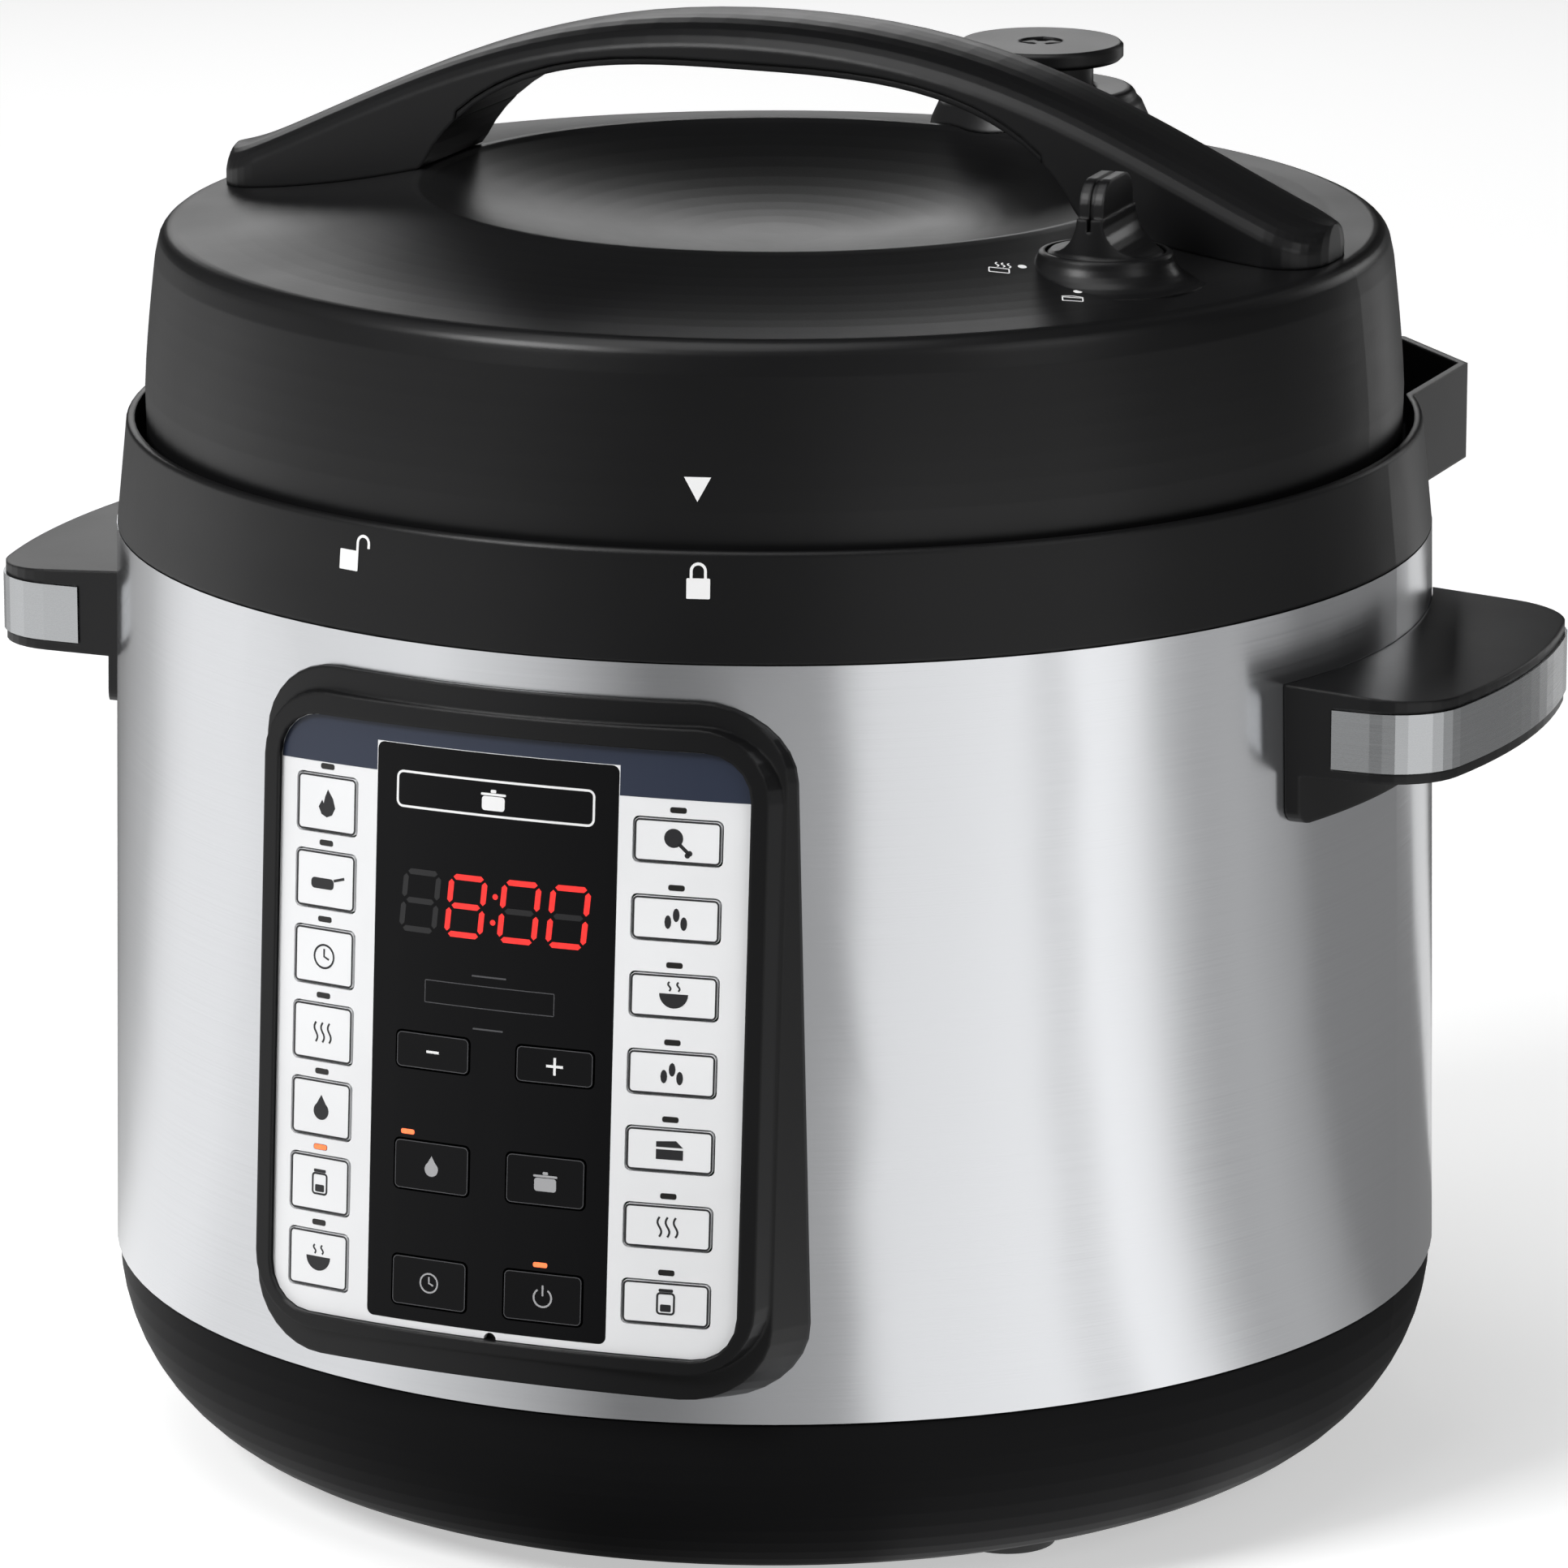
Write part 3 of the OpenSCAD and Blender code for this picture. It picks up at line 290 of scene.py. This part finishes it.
def rounded(w, h, r, n=6):
    return (arc(w / 2 - r, h / 2 - r, r, 0, 90, n) + arc(r - w / 2, h / 2 - r, r, 90, 180, n)
            + arc(r - w / 2, r - h / 2, r, 180, 270, n) + arc(w / 2 - r, r - h / 2, r, 270, 360, n))


def moved(points, dx, dy, scale=1.0):
    return [(x * scale + dx, y * scale + dy) for x, y in points]


def ring(w, h, r, line):
    """A rounded outline as one loop with a hole."""
    return [rounded(w, h, r), rounded(w - 2 * line, h - 2 * line, max(0.1, r - line))]


def stroke(points, width):
    """An open line with some width, as one loop."""
    left, right = [], []
    for i, p in enumerate(points):
        before = points[max(0, i - 1)]
        after = points[min(len(points) - 1, i + 1)]
        d = Vector((after[0] - before[0], after[1] - before[1])).normalized()
        left.append((p[0] - d.y * width / 2, p[1] + d.x * width / 2))
        right.append((p[0] + d.y * width / 2, p[1] - d.x * width / 2))
    return [left + right[::-1]]


def circle_ring(cx, cy, r, line, n=28):
    return [arc(cx, cy, r, 0, 360 * (n - 1) / n, n - 1), arc(cx, cy, r - line, 0, 360 * (n - 1) / n, n - 1)]


def disc(cx, cy, r, n=24):
    return [arc(cx, cy, r, 0, 360 * (n - 1) / n, n - 1)]


def mark(name, shapes, to_world, body, ink, thick=SKIN, slices=None):
    """Thin solid marks. Each shape is a loop, then its holes, in mm; to_world(u, v, lift) gives metres.
    With slices, the mark is cut at every slices mm across, so that it can follow a bow."""
    verts, faces = [], []
    for loops in shapes:
        base = len(verts)
        flat = [p for loop in loops for p in loop]
        count = len(flat)
        for lift in (thick, 0.0):
            verts += [(u, v, lift) for u, v in flat]
        for a, b, c in tessellate_polygon([[Vector((u, v, 0)) for u, v in loop] for loop in loops]):
            pa, pb, pc = flat[a], flat[b], flat[c]
            if (pb[0] - pa[0]) * (pc[1] - pa[1]) - (pb[1] - pa[1]) * (pc[0] - pa[0]) < 0:
                b, c = c, b
            faces += [(base + a, base + b, base + c), (base + count + a, base + count + c, base + count + b)]
        offset = 0
        for index, loop in enumerate(loops):
            n = len(loop)
            after = loop[1:] + loop[:1]
            area = sum(p[0] * q[1] - q[0] * p[1] for p, q in zip(loop, after))
            forward = (area > 0) == (index == 0)
            for i in range(n):
                p, q = base + offset + i, base + offset + (i + 1) % n
                if not forward:
                    p, q = q, p
                faces.append((p, p + count, q + count, q))
            offset += n
    mesh = bpy.data.meshes.new(name)
    mesh.from_pydata(verts, [], faces)
    mesh.validate()
    if slices:
        work = bmesh.new()
        work.from_mesh(mesh)
        low, high = min(v[0] for v in verts), max(v[0] for v in verts)
        for i in range(math.ceil(low / slices), math.floor(high / slices) + 1):
            bmesh.ops.bisect_plane(work, geom=work.verts[:] + work.edges[:] + work.faces[:],
                                   plane_co=(i * slices, 0, 0), plane_no=(1, 0, 0))
        work.to_mesh(mesh)
        work.free()
    for vert in mesh.vertices:
        vert.co = to_world(*vert.co)
    mesh.materials.append(INKS[ink])
    obj = bpy.data.objects.new(name, mesh)
    bpy.context.scene.collection.objects.link(obj)
    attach(obj, body)
    return obj


panel_matrix = Matrix.Translation(PANEL_ORIGIN) @ Matrix.Rotation(math.radians(90 - PANEL_TILT), 4, "X")


def on_face(u, v, lift):
    """A point on the bowed face: u across, v up, lift out of it, in mm."""
    a = math.asin(u / FACE_BOW_R)
    r = FACE_BOW_R + lift
    return panel_matrix @ Vector((r * math.sin(a) * MM, v * MM, (r * math.cos(a) - FACE_BOW_R) * MM))


def on_key(key_u):
    """Maps to the flat top of a key, which lies against the bow at key_u."""
    a = math.asin(key_u / FACE_BOW_R)
    drop = FACE_BOW_R * (math.cos(a) - 1)

    def to_world(u, v, lift):
        x = (u - key_u) * math.cos(a) + lift * math.sin(a)
        z = lift * math.cos(a) - (u - key_u) * math.sin(a)
        return panel_matrix @ Vector(((key_u + x) * MM, v * MM, (drop + z) * MM))
    return to_world


# key places: centre u, centre v, width, height, as in the CAD
ROW_V = [45.2 - 16.6 * i for i in range(7)]
KEYS = {}
for i, v in enumerate(ROW_V):
    KEYS[f"key_left_{i + 1}"] = (-42.5, v, 15.6, 12.6)
    KEYS[f"key_right_{i + 1}"] = (39.0, v, 19.2, 9.6)
WINDOW_KEYS = {
    "key_minus": (-15.0, -5.3, 17.6, 8.0), "key_plus": (13.4, -5.3, 17.6, 8.0),
    "key_mid_left": (-14.7, -30.3, 18.0, 11.0), "key_mid_right": (11.9, -30.3, 18.0, 11.0),
    "key_low_left": (-14.7, -55.7, 18.0, 11.0), "key_low_right": (11.9, -55.7, 18.0, 11.0),
}


def wave(x, y0, y1, swing, n=10):
    return [(x + swing * math.sin(2 * math.pi * i / n), y0 + (y1 - y0) * i / n) for i in range(n + 1)]


def steam_icon():
    return [stroke(wave(x, -2.2, 2.2, 0.45), 0.45) for x in (-1.8, 0, 1.8)]


def bowl_icon():
    return [[arc(0, 0.6, 3.2, 180, 360, 14)], stroke(wave(-1.0, 1.2, 3.2, 0.3), 0.4),
            stroke(wave(1.0, 1.2, 3.2, 0.3), 0.4)]


def pan_icon():
    return [[moved(rounded(6.0, 2.4, 0.9), -0.8, -0.8)], stroke([(2.2, 0.1), (5.0, 0.9)], 0.6)]


def pot_icon():
    return [[moved(rounded(6.2, 3.6, 0.8), 0, -1.0)], [moved(rounded(6.8, 0.6, 0.25), 0, 1.3)],
            [moved(rounded(1.5, 0.8, 0.3), 0, 2.1)]]


def clock_icon():
    return [circle_ring(0, 0, 2.8, 0.45), stroke([(0, 1.7), (0, 0), (1.3, -0.6)], 0.45)]


def drop_icon():
    side = [(0.0, 3.0), (1.2, 1.0)] + arc(0, -0.6, 2.0, 35, -215, 16) + [(-1.2, 1.0)]
    return [[side]]


def flame_icon():
    return [[[(0.2, 3.2), (1.6, 1.2), (2.2, -0.8), (1.4, -2.4), (0, -3.0), (-1.4, -2.4), (-2.2, -0.8),
              (-1.3, 0.8), (-0.9, 0.0), (-0.5, 1.6)]]]


def grain_icon():
    return [[moved([(math.cos(math.radians(a)) * 0.75, math.sin(math.radians(a)) * 1.5)
                    for a in range(0, 360, 30)], x, y)] for x, y in ((-1.7, -0.7), (0.1, 0.9), (1.8, -0.9))]


def jar_icon():
    return [ring(4.2, 5.0, 0.9, 0.45), [moved(rounded(3.2, 0.7, 0.25), 0, 2.9)],
            [moved(rounded(2.4, 1.6, 0.3), 0, -1.0)]]


def cake_icon():
    return [[[(-3.0, -2.0), (3.0, -2.0), (3.0, 0.2), (-3.0, 0.2)]],
            [[(-3.0, 0.7), (3.0, 0.7), (1.4, 2.2), (-3.0, 1.9)]]]


def leg_icon():
    return [[arc(-0.9, 0.7, 2.1, 0, 345, 20)], stroke([(0.3, -0.5), (2.3, -2.3)], 0.8), disc(2.7, -2.4, 0.6),
            disc(2.2, -2.9, 0.6)]


LEFT_ICONS = [flame_icon, pan_icon, clock_icon, steam_icon, drop_icon, jar_icon, bowl_icon]
RIGHT_ICONS = [leg_icon, grain_icon, bowl_icon, grain_icon, cake_icon, steam_icon, jar_icon]


def scaled(shapes, s, dx, dy):
    return [[moved(loop, dx, dy, s) for loop in loops] for loops in shapes]


for name, (u, v, w, h) in KEYS.items():
    side, index = name.split("_")[1], int(name[-1]) - 1
    icon = (LEFT_ICONS if side == "left" else RIGHT_ICONS)[index]()
    shapes = scaled([ring(w - 0.5, h - 0.5, 1.1, 0.4)], 1, u, v) + scaled(icon, 0.98, u, v)
    mark("print_" + name, shapes, on_key(u), name, "dark_ink")

for name, (u, v, w, h) in WINDOW_KEYS.items():
    shapes = scaled([ring(w - 0.5, h - 0.5, 1.1, 0.16)], 1, u, v)
    mark("rim_" + name, shapes, on_key(u), name, "grey_ink")

MINUS = [[rounded(3.0, 0.55, 0.1)]]
PLUS = [[[(-0.28, -1.9), (0.28, -1.9), (0.28, -0.28), (1.9, -0.28), (1.9, 0.28), (0.28, 0.28), (0.28, 1.9),
          (-0.28, 1.9), (-0.28, 0.28), (-1.9, 0.28), (-1.9, -0.28), (-0.28, -0.28)]]]
POWER = [[arc(0, 0, 2.2, 125, 415, 26) + arc(0, 0, 1.8, 415, 125, 26)], stroke([(0, 0.4), (0, 2.7)], 0.4)]
for name, shapes, size, ink in (
        ("key_minus", MINUS, 1, "white_ink"), ("key_plus", PLUS, 1, "white_ink"),
        ("key_mid_left", drop_icon(), 0.8, "light_grey_ink"),
        ("key_mid_right", pot_icon(), 0.8, "light_grey_ink"),
        ("key_low_left", clock_icon(), 0.8, "light_grey_ink"),
        ("key_low_right", POWER, 1, "light_grey_ink")):
    u, v = WINDOW_KEYS[name][:2]
    mark("print_" + name, scaled(shapes, size, u, v), on_key(u), name, ink, THIN_SKIN)

# slate header over both columns and above the window
top = 64.35
header = ([(54.35, 54.2)] + arc(44.6, top - 9.75, 9.75, 0, 90, 8) + arc(-44.6, top - 9.75, 9.75, 90, 180, 8)
          + [(-54.35, 54.2), (-29.95, 54.2), (-29.95, 60.65), (26.35, 60.65), (26.35, 54.2)])
mark("panel_header", [[header]], on_face, "base", "slate_ink", slices=SLICE)

# window print: blank badge outline, status bar, small ticks in place of captions
CAPTIONS = [[moved(rounded(8.0, 0.35, 0.1), -2.1, 12.4)], [moved(rounded(7.0, 0.35, 0.1), -2.1, 1.0)]]
for name, shapes, ink in (
        ("blank_badge", scaled([ring(46, 8.0, 1.6, 0.5)], 1, -2.0, 50.9), "white_ink"),
        ("badge_icon", scaled(pot_icon(), 0.85, -2.0, 50.7), "white_ink"),
        ("status_bar", scaled([ring(30.2, 5.0, 0.3, 0.18)], 1, -2.1, 7.9), "grey_ink"),
        ("caption_bars", CAPTIONS, "grey_ink")):
    mark(name, shapes, on_face, "base", ink, slices=SLICE)

# seven-segment digits
SEGMENTS = {"a": ((0.6, 12.4), (8.0, 12.4)), "b": ((8.2, 12.0), (8.2, 6.6)), "c": ((8.2, 5.8), (8.2, 0.4)),
            "d": ((0.6, 0.0), (8.0, 0.0)), "e": ((0.4, 5.8), (0.4, 0.4)), "f": ((0.4, 12.0), (0.4, 6.6)),
            "g": ((0.8, 6.2), (7.8, 6.2))}


def segment(name):
    (x0, y0), (x1, y1) = SEGMENTS[name]
    half, d = 0.62, Vector((x1 - x0, y1 - y0)).normalized()
    n = Vector((-d.y, d.x)) * half
    a, b = Vector((x0, y0)) + d * 0.15, Vector((x1, y1)) - d * 0.15
    points = [a, a + d * half + n, b - d * half + n, b, b - d * half - n, a + d * half - n]
    return [(p.x, p.y) for p in points]


def digit(names, u, v, slant=0.085):
    return [[[(u + x + y * slant, v + y) for x, y in segment(s)]] for s in names]


DIGIT_V = 20.9
lit = (digit("abcdefg", -12.7, DIGIT_V) + digit("abcdef", -0.3, DIGIT_V) + digit("abcdef", 10.8, DIGIT_V)
       + [disc(-1.5, DIGIT_V + 3.4, 0.62), disc(-1.05, DIGIT_V + 9.0, 0.62)])
unlit = digit("abcdefg", -23.6, DIGIT_V) + digit("g", -0.3, DIGIT_V) + digit("g", 10.8, DIGIT_V)
mark("lit_digits", lit, on_face, "base", "red_glow", slices=SLICE)
mark("unlit_digits", unlit, on_face, "base", "ghost_ink", slices=SLICE)

# lit indicators, over the lenses
lamp = rounded(3.2, 1.05, 0.4)
lamp_places = ((-42.5, ROW_V[5] + 8.1), (-20.6, -23.2), (11.2, -48.6))
mark("lit_lamps", [[moved(lamp, u, v)] for u, v in lamp_places], on_face, "base", "orange_glow", slices=SLICE)


# marks on the lid and the collar
def skirt_r(z):
    return 140.4 - (140.4 - 136.9) * max(0, (z - 243) / (278.6 - 243)) ** 1.3


def collar_r(z):
    return 147.1 + (144.8 - 147.1) * (z - 212) / (234.7 - 212)


def around(angle, radius_at):
    """Maps (arc length, height) to the turned surface at that angle."""
    def to_world(u, v, lift):
        r = radius_at(v) + lift
        a = math.radians(angle) + u / radius_at(v)
        return (r * math.cos(a) * MM, r * math.sin(a) * MM, v * MM)
    return to_world


def annulus_z(r):
    return 278.6 + 8.4 * max(0, (136.9 - r) / 56.9) ** 1.8


def on_annulus(u, v, lift):
    return (u * MM, v * MM, (annulus_z(math.hypot(u, v)) + 0.02 + lift) * MM)


pointer = [(-2.85, 250.4), (0.0, 245.2), (2.85, 250.4)]
mark("lid_pointer", [[pointer]], around(-74, skirt_r), "lid", "white_ink", WALL_SKIN)


def padlock(z, open_side):
    body = [moved(rounded(5.0, 4.3, 0.25), 0, z)]
    top_z = z + 2.1
    if open_side:
        shackle = ([(2.2, top_z - 0.2), (2.2, top_z + 1.6)] + arc(3.7, top_z + 1.9, 1.5, 180, 0, 10)
                   + [(5.2, top_z + 0.9)])
    else:
        shackle = ([(-1.5, top_z - 0.2), (-1.5, top_z + 1.4)] + arc(0, top_z + 1.6, 1.5, 180, 0, 10)
                   + [(1.5, top_z - 0.2)])
    return [body] + [stroke(shackle, 0.6)]


mark("locked_mark", padlock(227.8, False), around(-73.7, collar_r), "base", "white_ink", WALL_SKIN)
mark("unlocked_mark", padlock(227.0, True), around(-105.7, collar_r), "base", "white_ink", WALL_SKIN)


def turned(shapes, angle, cx, cy):
    c, s = math.cos(math.radians(angle)), math.sin(math.radians(angle))

    def turn(loop):
        return [(cx + x * c - y * s, cy + x * s + y * c) for x, y in loop]
    return [[turn(loop) for loop in loops] for loops in shapes]


closed_pot = [ring(4.6, 2.7, 0.3, 0.28), stroke([(-2.3, 1.75), (0, 2.3), (2.3, 1.75)], 0.28)]
steaming_pot = [ring(4.6, 2.7, 0.3, 0.28)] + [stroke(wave(x, 2.0, 4.4, 0.35), 0.28) for x in (-0.4, 0.9, 2.2)]
mark("seal_dot", [disc(95.1, -60.5, 0.95)], on_annulus, "lid", "white_ink", LID_SKIN)
mark("vent_dot", [disc(79.6, -53.2, 0.95)], on_annulus, "lid", "white_ink", LID_SKIN)
mark("seal_mark", turned(closed_pot, 22, 96.1, -66.2), on_annulus, "lid", "white_ink", LID_SKIN)
mark("vent_mark", turned(steaming_pot, 22, 76.3, -58.4), on_annulus, "lid", "white_ink", LID_SKIN)

# ---------- floor, light and camera ----------

floor_mesh = bpy.data.meshes.new("floor")
floor_mesh.from_pydata([(-15, -15, 0), (15, -15, 0), (15, 15, 0), (-15, 15, 0)], [], [(0, 1, 2, 3)])
floor = bpy.data.objects.new("floor", floor_mesh)
bpy.context.scene.collection.objects.link(floor)


# brightness round the studio, by direction: (degrees from +X towards +Y, value)
BANDS = [(-180, 0.98), (-165, 1.0), (-152, 0.86), (-124, 0.9), (-117, 0.74), (-101, 0.46), (-93, 0.28),
         (-87, 0.14), (-80, 0.165), (-70, 0.3), (-58, 0.4), (-53, 0.95), (-40, 1.0), (-28, 1.08), (-24, 0.84),
         (-20, 0.88), (-17, 1.22), (-9, 1.08), (-2, 0.6), (4, 0.42), (12, 0.47), (24, 0.34), (29, 0.2),
         (66, 0.18), (69, 0.7), (79, 0.7), (83, 0.06), (130, 0.06), (145, 0.26), (163, 0.52), (174, 0.9),
         (180, 0.98)]


def band_ramp(tree, source, out):
    """Colour of the studio in the horizontal direction of the given vector."""
    split = add(tree, "ShaderNodeSeparateXYZ")
    join(tree, source, out, split, "Vector")
    angle = add(tree, "ShaderNodeMath", operation="ARCTAN2")
    join(tree, split, "Y", angle, 0)
    join(tree, split, "X", angle, 1)
    turn = add(tree, "ShaderNodeMapRange")
    turn.inputs["From Min"].default_value = -math.pi
    turn.inputs["From Max"].default_value = math.pi
    join(tree, angle, "Value", turn, "Value")
    ramp = add(tree, "ShaderNodeValToRGB")
    elements = ramp.color_ramp.elements
    for degrees, value in BANDS[1:-1]:
        elements.new((degrees + 180) / 360)
    for element, (degrees, value) in zip(elements, BANDS):
        element.position = (degrees + 180) / 360
        element.color = (value, value, value, 1)
    join(tree, turn, "Result", ramp, "Fac")
    return ramp


FLOOR_LIFT = 0.5


def floor_material():
    """Pale floor for direct view. To all other rays it is a soft reflector with the bands of the studio."""
    mat, tree, bsdf = start_material("floor")
    path = add(tree, "ShaderNodeLightPath")
    albedo = add(tree, "ShaderNodeMix", data_type="RGBA")
    albedo.inputs[6].default_value = (0.1, 0.1, 0.1, 1)
    albedo.inputs[7].default_value = (0.8, 0.8, 0.8, 1)
    join(tree, path, "Is Camera Ray", albedo, 0)
    tree.links.new(albedo.outputs[2], bsdf.inputs["Base Color"])
    coords = add(tree, "ShaderNodeTexCoord")
    lift = add(tree, "ShaderNodeMix", data_type="RGBA")
    tree.links.new(band_ramp(tree, coords, "Object").outputs["Color"], lift.inputs[6])
    lift.inputs[7].default_value = (FLOOR_LIFT, FLOOR_LIFT, FLOOR_LIFT, 1)
    join(tree, path, "Is Camera Ray", lift, 0)
    tree.links.new(lift.outputs[2], bsdf.inputs["Emission Color"])
    bsdf.inputs["Emission Strength"].default_value = 1
    bsdf.inputs["Roughness"].default_value = 0.9
    bsdf.inputs["Specular IOR Level"].default_value = 0.0
    return mat


floor_mesh.materials.append(floor_material())

world = bpy.data.worlds.new("studio")
bpy.context.scene.world = world
world.use_nodes = True
tree = world.node_tree
coords = add(tree, "ShaderNodeTexCoord")
background = tree.nodes["Background"]
join(tree, band_ramp(tree, coords, "Generated"), "Color", background, "Color")
background.inputs["Strength"].default_value = 0.26


def area_light(name, place_m, aim_m, size, power, size_y=None):
    data = bpy.data.lights.new(name, "AREA")
    data.energy = power
    data.size = size
    if size_y:
        data.shape = "RECTANGLE"
        data.size_y = size_y
    light = bpy.data.objects.new(name, data)
    light.location = place_m
    light.rotation_euler = (Vector(aim_m) - Vector(place_m)).to_track_quat("-Z", "Y").to_euler()
    bpy.context.scene.collection.objects.link(light)
    return light


area_light("overhead", (-0.2, -0.5, 2.4), (0, 0, 0.2), 1.6, 20)
area_light("front_left", (-1.1, -2.0, 1.9), (0, 0, 0.15), 1.0, 58)
area_light("right", (1.9, -0.6, 1.2), (0, 0, 0.15), 0.8, 5)
area_light("back_right", (0.75, 1.9, 0.75), (0, 0, 0.28), 0.6, 1.8, 0.3)
area_light("back_left", (-0.95, 1.75, 0.74), (0, 0, 0.28), 1.1, 2.6, 0.35)

camera_data = bpy.data.cameras.new("camera")
camera_data.lens = 213.3
camera_data.sensor_width = 36
camera_data.clip_end = 60
camera = bpy.data.objects.new("camera", camera_data)
camera.location = (0.7815, -1.8774, 0.6726)
aim = Vector((0.00194, 0.00081, 0.1484))
camera.rotation_euler = (aim - camera.location).to_track_quat("-Z", "Y").to_euler()
bpy.context.scene.collection.objects.link(camera)
bpy.context.scene.camera = camera
bpy.context.scene.view_settings.view_transform = "Standard"
